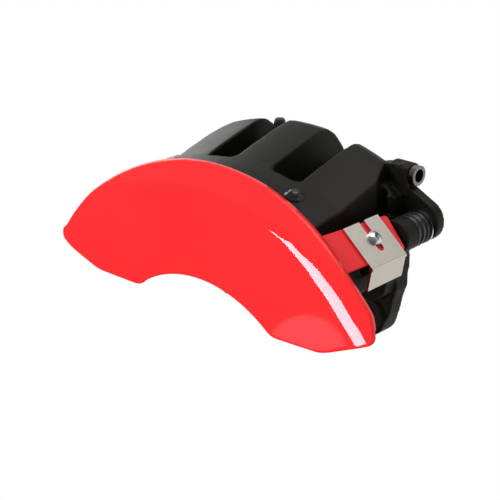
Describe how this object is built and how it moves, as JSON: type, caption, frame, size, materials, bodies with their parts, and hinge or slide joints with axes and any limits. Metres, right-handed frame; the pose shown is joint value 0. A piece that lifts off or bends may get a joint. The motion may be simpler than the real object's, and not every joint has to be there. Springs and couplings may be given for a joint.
{
  "type": "brake caliper",
  "caption": "Twin-piston sliding brake caliper on its carrier bracket, with pads, guide pins, bleeder and a crescent dress cover held by steel clips.",
  "frame": {"origin": "midway between the two knuckle bolt holes, on the inboard faces of the carrier bracket's ears", "axes": "+X along the row of knuckle bolts, +Y along the disc axis towards the vehicle (inboard), +Z radially outwards from the wheel axis through the caliper's middle. The disc's axis is parallel to Y, 74 mm below the origin, and its mid-plane is at y = -38 mm."},
  "size_m": [0.2873, 0.132, 0.1338],
  "materials": {
    "cover_paint": "gloss red paint",
    "cast_black": "satin black coating on a casting",
    "bracket_black": "satin black coating on a casting",
    "stainless": "brushed stainless steel",
    "zinc": "bright zinc plate",
    "bolt_steel": "bright steel",
    "piston_steel": "ground and plated steel",
    "rubber": "matt black rubber",
    "plate_paint": "matt black paint",
    "lining": "rough friction compound",
    "shim_steel": "satin grey sheet"
  },
  "bodies": {
    "carrier": {"carrier_bracket": "bracket_black", "abutment_clips": "stainless", "caliper_cover": "cover_paint", "cover_clip_left": "stainless", "cover_clip_right": "stainless", "cover_bolts": "bolt_steel", "cover_nuts": "zinc"},
    "caliper": {"caliper_housing": "cast_black", "piston_seals": "rubber", "piston_boot_left": "rubber", "piston_boot_right": "rubber", "guide_pin_left": "zinc", "guide_pin_right": "zinc", "guide_pin_bolts": "zinc", "pin_bushing": "rubber", "guide_boot_left": "rubber", "guide_boot_right": "rubber", "hose_fitting": "zinc"},
    "piston_left": {"piston_left": "piston_steel"},
    "piston_right": {"piston_right": "piston_steel"},
    "inner_pad": {"inner_pad_plate": "plate_paint", "inner_pad_lining": "lining", "inner_pad_shim": "shim_steel", "wear_indicator": "stainless"},
    "outer_pad": {"outer_pad_plate": "plate_paint", "outer_pad_lining": "lining", "outer_pad_shim": "shim_steel"},
    "bleeder": {"bleeder_screw": "zinc", "bleeder_cap": "rubber"}
  },
  "joints": [
    {"name": "caliper_slide", "type": "slide", "parent": "carrier", "child": "caliper", "axis": [0, 1, 0], "range_m": [0, 0.008], "deforming": ["guide_boot_left", "guide_boot_right"]},
    {"name": "piston_left_slide", "type": "slide", "parent": "caliper", "child": "piston_left", "axis": [0, -1, 0], "range_m": [0, 0.016], "deforming": ["piston_boot_left"]},
    {"name": "piston_right_slide", "type": "slide", "parent": "caliper", "child": "piston_right", "axis": [0, -1, 0], "range_m": [0, 0.016], "deforming": ["piston_boot_right"]},
    {"name": "inner_pad_slide", "type": "slide", "parent": "carrier", "child": "inner_pad", "axis": [0, -1, 0], "range_m": [0, 0.008]},
    {"name": "outer_pad_slide", "type": "slide", "parent": "carrier", "child": "outer_pad", "axis": [0, 1, 0], "range_m": [0, 0.008]},
    {"name": "bleeder_turn", "type": "hinge", "parent": "caliper", "child": "bleeder", "pos_m": [-0.0275, 0.019, 0.066], "axis": [0, 0, 1], "range_deg": [0, 270]}
  ],
  "couplings": [
    {"joint": "piston_left_slide", "follows": "caliper_slide", "ratio": 2},
    {"joint": "piston_right_slide", "follows": "caliper_slide", "ratio": 2},
    {"joint": "inner_pad_slide", "follows": "caliper_slide", "ratio": 1},
    {"joint": "outer_pad_slide", "follows": "caliper_slide", "ratio": 1}
  ]
}
